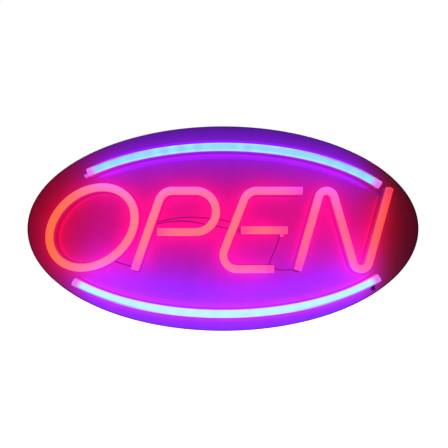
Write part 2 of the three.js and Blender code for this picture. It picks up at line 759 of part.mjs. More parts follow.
function socketBody() {
  const bodyLeft = boxLeft + BOX.wall;
  const body = block(
    bodyLeft + SOCKET.length / 2, AXIS_DEPTH, SOCKET.z,
    SOCKET.length, SOCKET.side, SOCKET.side,
  );
  const noseLength = bodyLeft - socketMouth + 1;
  const noseCentre = socketMouth + noseLength / 2;
  const nose = rod('x', noseCentre, AXIS_DEPTH, SOCKET.z, SOCKET.noseRadius, noseLength, 20);
  const bore = rod(
    'x', socketMouth + SOCKET.boreDepth / 2 - 0.5, AXIS_DEPTH, SOCKET.z,
    SOCKET.boreRadius, SOCKET.boreDepth + 1, 20,
  );
  const pinHole = rod('x', bodyLeft + SOCKET.length, AXIS_DEPTH, SOCKET.z, PIN.radius + 0.15, 8, 16);
  return cut(join(body, nose), bore, pinHole);
}

function socketPin() {
  const { radius, tip, length } = PIN;
  const profile = [[0, 0], [radius * 0.5, 0], [radius, 0.8], [radius, length], [0, length]];
  return turnedAlongX(profile, 16).translate(socketMouth + tip, AXIS_DEPTH, SOCKET.z);
}

function plugBarrel() {
  const { radius, bore, length, reach } = PLUG;
  const bevel = 0.3;
  const profile = [
    [bore, 0], [radius, 0], [radius, length - bevel], [radius - bevel, length], [bore, length], [bore, 0],
  ];
  return turnedAlongX(profile, 20).translate(gripFace + reach - length, AXIS_DEPTH, SOCKET.z);
}

// The moulded grip, from its cable end to the face that meets the socket.
function plugGrip() {
  const { radius, relief, ribDepth } = GRIP;
  const corner = 0.8;
  const cableBore = CABLE_RADIUS + 0.15;
  const barrelBore = PLUG.radius + 0.15;
  const pocket = PLUG.length - PLUG.reach + 0.2;
  const ribs = [];
  for (let i = 0; i < GRIP.ribs; i += 1) {
    const start = relief + 6 + GRIP.ribPitch * i;
    ribs.push([radius, start], [radius - ribDepth, start + 0.4]);
    ribs.push([radius - ribDepth, start + 1.4], [radius, start + 1.8]);
  }
  const end = relief + GRIP.length;
  const profile = [
    [cableBore, 0],
    [cableBore + 1, 0],
    [cableBore + 1.6, relief],
    [radius - corner, relief + corner],
    [radius, relief + 3 * corner],
    ...ribs,
    [radius, end - corner],
    [radius - corner, end],
    [barrelBore, end],
    [barrelBore, end - pocket],
    [cableBore, end - pocket],
    [cableBore, 0],
  ];
  return turnedAlongX(profile, 16).translate(gripTail, AXIS_DEPTH, SOCKET.z);
}

// ---------------------------------------------------------------- wall fittings

function hangerTape(x) {
  const inset = 1;
  const outline = roundedRectangle(x, HANGER.z, HANGER.width - inset, HANGER.height - inset, 1);
  return plate(outline, 0, HANGER.tape);
}

// A block with a keyhole: the screw head enters below and slides up behind the slot's lips.
function hangingBlock(x) {
  const front = HANGER.tape;
  const rear = STANDOFF;
  const lip = 3.5;
  const pocket = 7;
  const travel = 9;
  const entryZ = HANGER.z - 4.5;
  const body = plate(roundedRectangle(x, HANGER.z, HANGER.width, HANGER.height, 1.5), front, rear);
  const entry = rod('y', x, rear, entryZ, HANGER.screwHead / 2, 2 * (lip + 1));
  const slot = plate(slotShape(x, entryZ, travel, HANGER.slot / 2), rear - lip - 1, rear + 1, 8);
  const roomRadius = HANGER.screwHead / 2 + 0.4;
  const undercut = plate(slotShape(x, entryZ, travel, roomRadius), rear - lip - pocket, rear - lip, 8);
  return cut(body, entry, slot, undercut);
}

function spacerFoot(x) {
  const { radius } = FOOT;
  const edge = 1;
  const taper = 0.8;
  const profile = [
    [0, 0],
    [radius, 0],
    [radius - taper, STANDOFF - edge],
    [radius - taper - edge, STANDOFF],
    [0, STANDOFF],
  ].map(([r, along]) => new THREE.Vector2(r, along));
  return new THREE.LatheGeometry(profile, 20).translate(x, 0, FOOT.z);
}

// ---------------------------------------------------------------- assembly

const assembly = new THREE.Group();
const lights = new THREE.Group();
const wiring = new THREE.Group();
const controls = new THREE.Group();
const fittings = new THREE.Group();
assembly.add(lights, wiring, controls, fittings);

function place(group, name, geometry, finish) {
  const mesh = new THREE.Mesh(geometry, finish);
  mesh.name = name;
  group.add(mesh);
}

place(assembly, 'acrylic_board', board(), boardAcrylic);

Object.keys(strokes).forEach((name) => {
  const silicone = name.endsWith('arc') ? iceSilicone : warmSilicone;
  const tube = sweep(tubeStroke(name), domeShape(true));
  place(lights, `${name}_diffuser`, notched(`${name}_diffuser`, tube), silicone);
  place(lights, `${name}_led_strip`, ledStrip(name), stripFilm);
  if (isRing(name)) return;
  const startCap = name === 'upper_arc' ? tailedEndCap() : endCap(name, true);
  place(lights, `${name}_start_cap`, notched(`${name}_start_cap`, startCap), capSilicone);
  place(lights, `${name}_end_cap`, notched(`${name}_end_cap`, endCap(name, false)), capSilicone);
});

Object.keys(jumpers).forEach((name) => place(wiring, name, jumper(name), jumperSheath));
place(wiring, 'upper_arc_lead', arcLeadGeometry(LEAD_RADIUS), jumperSheath);
place(wiring, 'letter_lead', letterLeadGeometry(LEAD_RADIUS), jumperSheath);
place(wiring, 'power_lead', powerLeadGeometry(POWER_LEAD_RADIUS), leadSheath);
place(wiring, 'cable_clip_upper', cableClip(clipPoints.upper), blackPlastic);
place(wiring, 'cable_clip_lower', cableClip(clipPoints.lower), blackPlastic);

place(controls, 'control_box_base', boxBase(), blackPlastic);
place(controls, 'control_box_cover', boxCover(), blackPlastic);
place(controls, 'cover_screw_left', coverScrew(screwPlaces[0]), platedSteel);
place(controls, 'cover_screw_right', coverScrew(screwPlaces[1]), platedSteel);
place(controls, 'circuit_board', circuitBoard(), circuitGreen);
place(controls, 'switch_housing', switchHousing(), blackPlastic);
place(controls, 'switch_rocker', rocker(), rockerPlastic);
place(controls, 'switch_contact_lever', contactLever(), brassContact);
place(controls, 'switch_common_blade', switchBlade(0, 0.5), brassContact);
place(controls, 'switch_load_blade', switchBlade(-4.2, 1.1), brassContact);
place(controls, 'supply_socket', socketBody(), blackPlastic);
place(controls, 'supply_socket_pin', socketPin(), platedSteel);
place(controls, 'socket_wire_positive', innerWire(1), rockerPlastic);
place(controls, 'socket_wire_negative', innerWire(-1), leadSheath);
place(controls, 'supply_plug_barrel', plugBarrel(), platedSteel);
place(controls, 'supply_plug_grip', plugGrip(), blackPlastic);
place(controls, 'supply_cable', supplyCable(), leadSheath);

[['left', -1], ['right', 1]].forEach(([side, direction]) => {
  place(fittings, `hanger_tape_${side}`, hangerTape(direction * HANGER.x), foamTape);
  place(fittings, `hanging_block_${side}`, hangingBlock(direction * HANGER.x), clearAcrylic);
  place(fittings, `spacer_foot_${side}`, spacerFoot(direction * FOOT.x), feetRubber);
});

export default assembly;
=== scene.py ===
import math
import random

import bmesh
import bpy
import numpy as np
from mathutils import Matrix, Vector


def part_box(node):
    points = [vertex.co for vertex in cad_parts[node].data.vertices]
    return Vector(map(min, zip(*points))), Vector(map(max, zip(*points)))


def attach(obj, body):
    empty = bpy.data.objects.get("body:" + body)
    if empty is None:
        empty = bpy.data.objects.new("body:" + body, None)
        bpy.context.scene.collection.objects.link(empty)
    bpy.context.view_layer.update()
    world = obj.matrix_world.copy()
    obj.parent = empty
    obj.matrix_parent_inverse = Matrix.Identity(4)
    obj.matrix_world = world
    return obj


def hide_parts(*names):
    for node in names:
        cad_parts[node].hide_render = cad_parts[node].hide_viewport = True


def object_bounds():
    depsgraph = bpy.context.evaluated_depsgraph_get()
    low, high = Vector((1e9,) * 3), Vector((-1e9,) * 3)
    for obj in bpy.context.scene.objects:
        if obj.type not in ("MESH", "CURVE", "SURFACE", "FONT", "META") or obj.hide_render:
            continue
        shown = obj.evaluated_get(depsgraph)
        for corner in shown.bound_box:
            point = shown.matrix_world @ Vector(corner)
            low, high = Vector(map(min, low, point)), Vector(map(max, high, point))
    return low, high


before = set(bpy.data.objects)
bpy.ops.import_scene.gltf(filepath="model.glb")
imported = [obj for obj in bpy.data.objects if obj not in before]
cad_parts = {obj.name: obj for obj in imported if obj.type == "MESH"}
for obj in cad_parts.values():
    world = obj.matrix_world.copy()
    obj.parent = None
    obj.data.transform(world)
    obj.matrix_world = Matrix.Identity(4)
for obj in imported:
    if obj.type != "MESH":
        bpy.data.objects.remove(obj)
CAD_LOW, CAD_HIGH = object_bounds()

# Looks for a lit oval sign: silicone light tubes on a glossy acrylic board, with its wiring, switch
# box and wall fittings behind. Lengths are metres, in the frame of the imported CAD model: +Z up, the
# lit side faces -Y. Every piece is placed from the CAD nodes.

random.seed(7)

# ------------------------------------------------------------------ driving dimensions

MM = 0.001
BOARD_LOW, BOARD_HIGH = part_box("acrylic_board")
BOARD_FRONT = BOARD_LOW.y
HALF_WIDTH = BOARD_HIGH.x
HALF_HEIGHT = BOARD_HIGH.z
BOARD_EDGE = 0.6 * MM
BOARD_SECTORS = 320
BOARD_RINGS = 72
BOARD_REAR_RINGS = 8
BOARD_EDGE_STEPS = 5
HOLE_SECTORS = 40
HOLE_CUTTER = 30 * MM

FLEX_WIDTH = 8 * MM
FLEX_HEIGHT = 15 * MM
FLEX_DOME = 3.4 * MM
FLEX_FILLET = 0.5 * MM
CHANNEL_WIDTH = 5.4 * MM
CHANNEL_HEIGHT = 2.6 * MM
CAP_LENGTH = 5 * MM
CAP_ROUNDING = 0.7 * MM
CAP_SEAM = 0.1 * MM
CAP_LIP = 0.15 * MM
TAIL_RADIUS = 1.7 * MM
TAIL_LENGTH = 6 * MM
TAIL_HEIGHT = 3 * MM
TAIL_ROUNDING = 0.6 * MM
TAIL_SECTORS = 24
LED_PITCH = 1 / 60
DOME_STEPS = 18
TURN_STEP = math.radians(3.5)
STATION_STEP = 3 * MM

# How the tubes' paths are read off the CAD nodes.
SAME_PLACE = 0.02 * MM
LEAST_AHEAD = 0.9
BEND_TOLERANCE = math.radians(2.5)
LEAST_STEP = 1.5 * MM
STRAIGHT_TURN = 1e-3

# Corners sharper than these many degrees stay crisp.
TUBE_CORNER = 40
BOARD_CORNER = 50
CAD_CORNER = 38

LETTERS = ("letter_o", "letter_p", "letter_e", "letter_e_bar", "letter_n")
ARCS = ("upper_arc", "lower_arc")
CLOSED_TUBE = "letter_o"
LIGHT_SOURCES = {"letters": LETTERS, "upper": ("upper_arc",), "lower": ("lower_arc",)}
LIGHT_REACHES = {"near": 10 * MM, "far": 40 * MM}
SIDE_LOOK = 3
HALO_LIGHT = (0.34, 0.44)
DOME_BAND = (0.72, 0.79)
# Painted shade: the dark outline round each tube's dome, at its shoulders.
OUTLINE_SHADE_BAND = (0.76, 0.87)
OUTLINE_SHADE = 0.5

# Light colours, in linear red, green and blue: the painted light that the board takes up close beside
# a tube and further off, the word's own colour at its two ends, and the painted light by which the
# other tubes tint it.
SPILL = {
    "letters": {"near": (0.5, 0.0, 0.05), "far": (0.36, 0.0, 0.0)},
    "upper": {"near": (0.15, 0.0, 0.6), "far": (0.0, 0.01, 0.4)},
    "lower": {"near": (0.3, 0.0, 0.5), "far": (0.2, 0.03, 1.5)},
}
# Painted light: a violet halo on the board right beside the arcs.
ARC_HALO = (0.1, 0.0, 0.35)
# Painted light: a dim magenta glow over the whole board, fading towards the rim.
DIM_MAGENTA = (0.08, 0.0, 0.09)
WORD_LEFT = (1.0, 0.09, 0.02)
WORD_RIGHT = (1.0, 0.02, 0.0)
LEAST_WARM = (1.0, 0.05, 0.06)
CROWDED_LIGHT_TINT = (0.0, 0.05, 0.0)
ARC_LIGHT_TINT = (0.0, 0.08, 1.3)

CAMERA_PLACE = Vector((0, -0.505, -0.022))
CAMERA_LENS = 39.33
CAMERA_SHIFT = (0.0023, 0.0584)
FLOOR_DROP = 0.3
FLOOR_HALF = 6
BRIGHT_SIDE = (0, 0.87, 0.5)
DARK_SIDE_LEVEL = 0.012


# ------------------------------------------------------------------ colours


def srgb(red, green, blue):
    """A linear colour from the three 0 to 255 numbers that a screen shows."""
    shares = [v / 255 for v in (red, green, blue)]
    return tuple(s / 12.92 if s <= 0.04045 else ((s + 0.055) / 1.055) ** 2.4 for s in shares)


# ------------------------------------------------------------------ shader nodes


class Tree:
    """The shader nodes of one material. Every method gives back an output socket."""

    def __init__(self, name):
        self.material = bpy.data.materials.new(name)
        self.material.use_nodes = True
        self.nodes = self.material.node_tree.nodes
        self.links = self.material.node_tree.links
        self.surface = self.nodes["Principled BSDF"]
        self.position = self.add("TexCoord", output="Object")

    def feed(self, socket, value):
        if isinstance(value, bpy.types.NodeSocket):
            self.links.new(value, socket)
        elif socket.type == "RGBA" and len(value) == 3:
            socket.default_value = (*value, 1)
        else:
            socket.default_value = value

    def add(self, kind, inputs=None, output=0, **settings):
        node = self.nodes.new("ShaderNode" + kind)
        for key, value in settings.items():
            setattr(node, key, value)
        for key, value in (inputs or {}).items():
            self.feed(node.inputs[key], value)
        return node.outputs[output]

    def math(self, operation, a, b=0.0, c=0.0):
        return self.add("Math", {0: a, 1: b, 2: c}, operation=operation)

    def times(self, a, b):
        return self.math("MULTIPLY", a, b)

    def plus(self, a, b):
        return self.math("ADD", a, b)

    def less(self, a, b):
        return self.math("SUBTRACT", a, b)

    def between(self, value, low, high, start=0.0, end=1.0):
        """A smooth step from start to end as value goes from low to high."""
        inputs = {"Value": value, "From Min": low, "From Max": high, "To Min": start, "To Max": end}
        return self.add("MapRange", inputs, interpolation_type="SMOOTHSTEP")

    def fade(self, distance, reach, strength=1.0):
        """Strength at distance 0, falling away with the given reach."""
        outside = self.math("MAXIMUM", distance, 0.0)
        power = self.math("EXPONENT", self.times(outside, -1 / reach))
        return self.times(power, strength)

    def mix(self, share, first, second, blend="MIX"):
        inputs = {0: share, 6: first, 7: second}
        return self.add("Mix", inputs, 2, data_type="RGBA", blend_type=blend)

    def weigh(self, start, tints):
        """The start colour plus each named mesh attribute times its own tint."""
        total = start
        for name, tint in tints.items():
            inputs = {0: self.attribute(name), 1: tint, 2: total}
            total = self.add("VectorMath", inputs, operation="MULTIPLY_ADD")
        return self.add("VectorMath", {0: total, 1: (0, 0, 0)}, operation="MAXIMUM")

    def axes(self, vector=None):
        separate = self.add("SeparateXYZ", {0: vector or self.position}).node
        return separate.outputs[0], separate.outputs[1], separate.outputs[2]

    def noise(self, size, detail=3.0, stretch=(1, 1, 1), place=None):
        """Cloudy noise from 0 to 1, whose patches are about size metres across."""
        scale = tuple(s / size for s in stretch)
        place = self.add("Mapping", {"Vector": place or self.position, "Scale": scale})
        return self.add("TexNoise", {"Vector": place, "Scale": 1.0, "Detail": detail}, "Fac")

    def cells(self, size, stretch=(1, 1, 1), feature="F1"):
        scale = tuple(s / size for s in stretch)
        place = self.add("Mapping", {"Vector": self.position, "Scale": scale})
        return self.add("TexVoronoi", {"Vector": place, "Scale": 1.0}, "Distance", feature=feature)

    def bump(self, height, depth, strength=1.0, under=None):
        inputs = {"Height": height, "Distance": depth, "Strength": strength}
        if under is not None:
            inputs["Normal"] = under
        return self.add("Bump", inputs)

    def normal(self):
        return self.axes(self.add("NewGeometry", output="Normal"))

    def attribute(self, name):
        return self.add("Attribute", output="Fac", attribute_name=name)

    def finish(self, **inputs):
        for key, value in inputs.items():
            self.feed(self.surface.inputs[key.replace("_", " ")], value)
        return self.material


# ------------------------------------------------------------------ materials: the lit side


def end_dimming(tree):
    """How much red and how much blue is left towards the board's ends, past the arcs."""
    x, _, _ = tree.axes()
    reach = tree.math("ABSOLUTE", x)
    red = tree.between(x, 145 * MM, 190 * MM, 1.0, 0.5)
    blue = tree.between(reach, 115 * MM, 180 * MM, 1.0, 0.35)
    right = tree.between(x, 140 * MM, 180 * MM, 1.0, 0.3)
    return tree.add("CombineXYZ", {0: red, 1: 1.0, 2: tree.times(blue, right)})


def outward_squared(tree):
    """0 at the board's middle and 1 on its rim."""
    x, _, z = tree.axes()
    across = tree.times(x, 1 / HALF_WIDTH)
    rise = tree.times(z, 1 / HALF_HEIGHT)
    return tree.plus(tree.times(across, across), tree.times(rise, rise))


def spilled_glow(tree):
    """The tubes' light on the board round them: red by the word, violet by the arcs, and a dim
    magenta that fades towards the rim."""
    fading = tree.less(1.0, tree.times(outward_squared(tree), 0.8))
    ambient = tree.add("VectorMath", {0: fading, 1: DIM_MAGENTA}, operation="MULTIPLY")
    tints = {f"{source}_{reach}": tint for source in SPILL for reach, tint in SPILL[source].items()}
    glow = tree.weigh(ambient, tints)
    beside = tree.plus(tree.attribute("upper_near"), tree.attribute("lower_near"))
    halo = tree.between(beside, *HALO_LIGHT)
    glow = tree.add("VectorMath", {0: halo, 1: ARC_HALO, 2: glow}, operation="MULTIPLY_ADD")
    return tree.add("VectorMath", {0: glow, 1: end_dimming(tree)}, operation="MULTIPLY")


def board_face():
    """Glossy acrylic whose glow is painted light spilled from the tubes, with painted contact shade
    where a tube touches it.
    """
    tree = Tree("board_face")
    # Painted contact shade: the painted glow darker where a tube touches the board.
    contact = tree.between(tree.attribute("tube_gap"), 0.1 * MM, 1.3 * MM, 0.55, 1.0)
    cloud = tree.add("MapRange", {"Value": tree.noise(14 * MM, 4), "To Min": 0.9, "To Max": 1.1})
    # The painted glow also dims at the very rim.
    rim = tree.between(outward_squared(tree), 0.972, 0.995, 1.0, 0.4)
    level = tree.times(tree.times(contact, cloud), rim)

    scratches = tree.cells(9 * MM, (1, 1, 0.12), "DISTANCE_TO_EDGE")
    haze = tree.noise(40 * MM, 6)
    roughness = tree.plus(tree.times(haze, 0.06), tree.between(scratches, 0.0, 0.02, 0.05, 0.02))
    ripple = tree.bump(tree.noise(60 * MM, 2), 0.04 * MM, 0.3)
    return tree.finish(
        Base_Color=srgb(20, 4, 16),
        Roughness=roughness,
        IOR=2.3,
        Normal=ripple,
        Emission_Color=spilled_glow(tree),
        Emission_Strength=level,
    )


def board_body():
    """The board's dark rim and rear: polished acrylic with wipe marks, fine scratches and dust."""
    tree = Tree("board_body")
    wipe = tree.noise(24 * MM, 5, (1, 1, 3))
    dust = tree.between(tree.cells(2.4 * MM), 0.0, 0.09, 1.0, 0.0)
    specks = tree.times(dust, tree.between(tree.noise(30 * MM, 2), 0.4, 0.6))
    marks = tree.cells(7 * MM, (1, 1, 0.4), "DISTANCE_TO_EDGE")
    worn = tree.between(tree.noise(30 * MM, 2), 0.5, 0.62)
    scratches = tree.times(tree.between(marks, 0.0, 0.012, 0.6, 0.0), worn)
    tint = tree.mix(wipe, srgb(20, 10, 22), srgb(44, 26, 46))
    colour = tree.mix(tree.times(specks, 0.7), tint, srgb(150, 142, 148))
    roughness = tree.plus(tree.times(wipe, 0.22), tree.plus(tree.times(specks, 0.3), 0.03))
    ripple = tree.bump(tree.noise(50 * MM, 2), 0.06 * MM, 0.4)
    return tree.finish(
        Base_Color=colour,
        Roughness=tree.plus(roughness, tree.times(scratches, 0.25)),
        Normal=tree.bump(scratches, 0.02 * MM, 0.3, ripple),
        Coat_Weight=0.3,
        Coat_Roughness=0.05,
    )


def warm_crown(tree):
    """Coral red: more orange at the word's left, more orange where it is crowded from the other
    letters' painted light, and pinker from the arcs' painted light on the sides that face an arc."""
    x, _, _ = tree.axes()
    # Painted light from the other letters and from the arcs, falling on the tube.
    tints = {
        "letters_far": CROWDED_LIGHT_TINT,
        "upper_far": ARC_LIGHT_TINT,
        "lower_far": ARC_LIGHT_TINT,
    }
    start = tree.mix(tree.between(x, -HALF_WIDTH, HALF_WIDTH), WORD_LEFT, WORD_RIGHT)
    lit = tree.weigh(start, tints)
    lit = tree.add("VectorMath", {0: lit, 1: end_dimming(tree)}, operation="MULTIPLY")
    lit = tree.add("VectorMath", {0: lit, 1: LEAST_WARM}, operation="MAXIMUM")
    end = tree.fade(tree.attribute("end_gap"), 8 * MM)
    dimmed = tree.mix(1.0, lit, (1.0, 0.5, 1.1), "MULTIPLY")
    return tree.mix(end, lit, dimmed)


def ice_crown(tree, core, edge, spot_depth):
    """Pale blue with whiter edges, violet towards its ends and on the outer edge there."""
    x, _, z = tree.axes()
    _, _, upward = tree.normal()
    outward = tree.times(upward, tree.math("SIGN", z))
    edges = tree.between(tree.math("ABSOLUTE", upward), 0.35, 0.85)
    colour = tree.mix(edges, core, edge)
    ends = tree.between(tree.math("ABSOLUTE", x), 50 * MM, 130 * MM)
    outer = tree.times(tree.between(outward, 0.25, 0.7), ends)
    colour = tree.mix(outer, colour, srgb(168, 84, 240))
    spots = tree.math("COSINE", tree.times(tree.attribute("along"), 2 * math.pi / LED_PITCH))
    uneven = tree.between(tree.noise(30 * MM, 2), 0.35, 0.65)
    green = tree.plus(tree.times(tree.times(spots, uneven), spot_depth), 1.0)
    colour = tree.mix(1.0, colour, tree.add("CombineColor", {0: 1.0, 1: green, 2: 1.0}), "MULTIPLY")
    cap = tree.between(tree.attribute("end_gap"), 7 * MM, -2 * MM)
    return tree.mix(cap, colour, srgb(228, 118, 240))


def silicone(name, crown, *looks):
    """A lit tube or end cap. crown gives the colour of its dome, which has a dark outline of painted
    shade at its shoulders and the streaks of the extruded skin. Its walls show the same painted light
    as the board beside them, with painted shade darker towards their base."""
    tree = Tree(name)
    _, y, _ = tree.axes()
    height = tree.times(tree.less(BOARD_FRONT, y), 1 / FLEX_HEIGHT)
    skin_place = tree.add(
        "CombineXYZ", {0: tree.attribute("along"), 1: tree.attribute("across"), 2: 0.0}
    )
    streaks = tree.noise(1.1 * MM, 3, (0.06, 1, 1), skin_place)
    clouds = tree.noise(16 * MM, 3)
    grain = tree.noise(0.9 * MM, 3)
    level = tree.plus(tree.times(tree.less(streaks, 0.5), 0.16), 1.0)
    level = tree.plus(level, tree.times(tree.less(clouds, 0.5), 0.12))
    on_dome = tree.between(height, *DOME_BAND)
    # Painted shade: the walls darker towards their base.
    shade = tree.between(height, 0.0, 0.6, 0.72, 1.02)
    wall = tree.add("VectorMath", {0: spilled_glow(tree), 1: shade}, operation="MULTIPLY")
    # Painted shade: a dark outline where the wall meets the dome.
    outline = tree.between(height, *OUTLINE_SHADE_BAND, OUTLINE_SHADE, 1.0)
    dome = tree.add("VectorMath", {0: crown(tree, *looks), 1: outline}, operation="MULTIPLY")
    colour = tree.mix(on_dome, wall, dome)
    return tree.finish(
        Base_Color=srgb(50, 30, 40),
        Roughness=tree.plus(tree.times(grain, 0.2), 0.3),
        Specular_IOR_Level=0.25,
        Normal=tree.bump(tree.plus(grain, streaks), 0.05 * MM, 0.5),
        Emission_Color=colour,
        Emission_Strength=level,
    )


# ------------------------------------------------------------------ materials: fittings


def plastic(name, dark, pale, grain_size, roughness, depth, coat=0.0):
    """Moulded plastic: a fine spark-eroded grain, slow colour drift and polished wear."""
    tree = Tree(name)
    drift = tree.noise(18 * MM, 4)
    grain = tree.cells(grain_size)
    wear = tree.between(tree.noise(7 * MM, 5), 0.6, 0.75)
    colour = tree.mix(drift, dark, pale)
    colour = tree.mix(tree.times(wear, 0.25), colour, tuple(min(1.0, 1.8 * c + 0.01) for c in pale))
    gloss = tree.plus(tree.times(drift, 0.12), tree.less(roughness, tree.times(wear, 0.12)))
    return tree.finish(
        Base_Color=colour,
        Roughness=gloss,
        Normal=tree.bump(grain, depth, 0.5),
        Coat_Weight=coat,
    )


def wire_sheath(name, dark, pale, roughness=0.35, glow=(0.0, 0.0, 0.0)):
    """Extruded sheath: fine lines along it and a soft sheen. In front of the board it also shows the
    glow round it as painted light."""
    tree = Tree(name)
    lines = tree.noise(0.5 * MM, 2, (1, 1, 0.15))
    smudge = tree.noise(6 * MM, 4)
    _, y, _ = tree.axes()
    in_front = tree.between(y, BOARD_HIGH.y, BOARD_FRONT, 0.0, 1.0)
    return tree.finish(
        Base_Color=tree.mix(smudge, dark, pale),
        Roughness=tree.plus(tree.times(smudge, 0.2), roughness),
        Normal=tree.bump(lines, 0.03 * MM, 0.4),
        Emission_Color=glow,
        Emission_Strength=tree.times(in_front, tree.plus(tree.times(smudge, 0.5), 0.5)),
    )


def metal(name, dark, pale, roughness, stretch):
    """Plated or stamped metal, brushed one way, with darker handling marks."""
    tree = Tree(name)
    brush = tree.noise(0.25 * MM, 3, stretch)
    marks = tree.between(tree.noise(2.5 * MM, 5), 0.45, 0.75)
    return tree.finish(
        Base_Color=tree.mix(marks, pale, dark),
        Metallic=1.0,
        Roughness=tree.plus(tree.times(brush, 0.2), tree.plus(tree.times(marks, 0.15), roughness)),
        Normal=tree.bump(brush, 0.02 * MM, 0.4),
    )


def rubber():
    """Matt rubber with a fine grain and a pale bloom."""
    tree = Tree("feet_rubber")
    grain = tree.cells(0.7 * MM)
    bloom = tree.noise(9 * MM, 5)
    return tree.finish(
        Base_Color=tree.mix(bloom, srgb(34, 34, 36), srgb(66, 65, 66)),
        Roughness=tree.plus(tree.times(bloom, 0.15), 0.72),
        Normal=tree.bump(grain, 0.12 * MM, 0.7),
    )


def foam_tape():
    """Off-white foam tape with open pores and a few stains."""
    tree = Tree("foam_tape")
    pores = tree.cells(0.45 * MM)
    stain = tree.noise(8 * MM, 4)
    return tree.finish(
        Base_Color=tree.mix(stain, srgb(232, 228, 216), srgb(206, 200, 186)),
        Roughness=0.92,
        Normal=tree.bump(pores, 0.2 * MM, 0.9),
    )


def clear_acrylic():
    """Polished clear blocks, a little cloudy inside."""
    tree = Tree("clear_acrylic")
    haze = tree.noise(10 * MM, 5)
    return tree.finish(
        Base_Color=tree.mix(haze, srgb(236, 242, 246), srgb(218, 230, 238)),
        Roughness=tree.plus(tree.times(haze, 0.08), 0.03),
        Transmission_Weight=0.88,
        IOR=1.49,
        Normal=tree.bump(tree.noise(22 * MM, 2), 0.05 * MM, 0.5),
    )


def strip_film():
    """The flexible LED strip: white cover film with copper pads at every cut line."""
    tree = Tree("led_strip")
    stain = tree.noise(3 * MM, 3)
    pads = tree.between(tree.cells(4 * MM), 0.12, 0.16, 1.0, 0.0)
    film = tree.mix(stain, srgb(240, 236, 224), srgb(226, 220, 204))
    return tree.finish(
        Base_Color=tree.mix(pads, film, srgb(190, 110, 60)),
        Roughness=tree.plus(tree.times(stain, 0.2), 0.45),
        Normal=tree.bump(pads, 0.05 * MM, 0.5),
    )


def circuit_green():
    """Green solder resist with paler tracks under it."""
    tree = Tree("circuit_board")
    traces = tree.between(tree.cells(2.2 * MM, (1, 1, 0.35), "DISTANCE_TO_EDGE"), 0.05, 0.08, 1.0, 0.0)
    return tree.finish(
        Base_Color=tree.mix(traces, srgb(18, 84, 52), srgb(38, 122, 76)),
        Roughness=tree.plus(tree.times(traces, 0.1), 0.35),
        Normal=tree.bump(traces, 0.04 * MM, 0.5),
        Coat_Weight=0.4,
    )


def sealant(name, dark, pale, glow):
    """A dab of glue, cloudy inside. On the board's lit side it carries painted light: a lit colour and
    a glow.
    """
    tree = Tree(name)
    cloud = tree.noise(1.5 * MM, 4)
    _, y, _ = tree.axes()
    in_front = tree.between(y, BOARD_HIGH.y, BOARD_FRONT, 0.0, 1.0)
    # Painted light: a lit copy of the glue's colour in front of the board, a dark unlit copy behind
    # it.
    lit = tree.mix(cloud, dark, pale)
    unlit = tree.mix(cloud, srgb(20, 12, 22), srgb(42, 30, 44))
    return tree.finish(
        Base_Color=tree.mix(in_front, unlit, lit),
        Roughness=tree.plus(tree.times(cloud, 0.25), 0.2),
        Normal=tree.bump(cloud, 0.2 * MM, 0.6),
        Emission_Color=lit,
        Emission_Strength=tree.times(in_front, glow),
    )


MATERIALS = {
    "board_face": board_face(),
    "board_body": board_body(),
    "silicone_warm": silicone("silicone_warm", warm_crown),
    "silicone_ice_upper": silicone(
        "silicone_ice_upper", ice_crown, srgb(142, 222, 250), srgb(182, 226, 255), 0.13
    ),
    "silicone_ice_lower": silicone(
        "silicone_ice_lower", ice_crown, srgb(186, 248, 249), srgb(218, 230, 254), 0.04
    ),
    "led_strip": strip_film(),
    # The thin wires carry painted magenta light in front of the board.
    "thin_wire": wire_sheath(
        "thin_wire", srgb(58, 22, 30), srgb(84, 30, 40), 0.25, srgb(150, 6, 110)
    ),
    "lead_sheath": wire_sheath("lead_sheath", srgb(20, 18, 22), srgb(36, 33, 38)),
    "red_wire": wire_sheath("red_wire", srgb(150, 16, 20), srgb(190, 26, 28)),
    "moulded_pvc": plastic(
        "moulded_pvc", srgb(24, 24, 26), srgb(34, 34, 37), 0.5 * MM, 0.45, 0.05 * MM
    ),
    "black_plastic": plastic(
        "black_plastic", srgb(30, 30, 33), srgb(42, 42, 46), 0.55 * MM, 0.42, 0.08 * MM
    ),
    "rocker_plastic": plastic(
        "rocker_plastic", srgb(168, 14, 20), srgb(196, 22, 28), 0.9 * MM, 0.22, 0.02 * MM, 0.5
    ),
    "feet_rubber": rubber(),
    "foam_tape": foam_tape(),
    "clear_acrylic": clear_acrylic(),
    "plated_steel": metal("plated_steel", srgb(150, 152, 156), srgb(206, 208, 212), 0.2, (1, 1, 0.1)),
    "brass": metal("brass", srgb(150, 112, 52), srgb(214, 172, 92), 0.25, (0.1, 1, 1)),
    "circuit_board": circuit_green(),
    "pale_glue": sealant("pale_glue", srgb(226, 70, 150), srgb(240, 110, 180), 0.6),
    "tail_silicone": sealant("tail_silicone", srgb(176, 52, 206), srgb(214, 96, 236), 0.9),
    "dark_glue": sealant("dark_glue", srgb(110, 12, 150), srgb(146, 22, 190), 0.8),
}


# ------------------------------------------------------------------ reading tubes off the frame


def unique_points(node):
    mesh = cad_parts[node].data
    points = np.array([v.co for v in mesh.vertices], float)
    return np.unique(np.round(points, 6), axis=0)


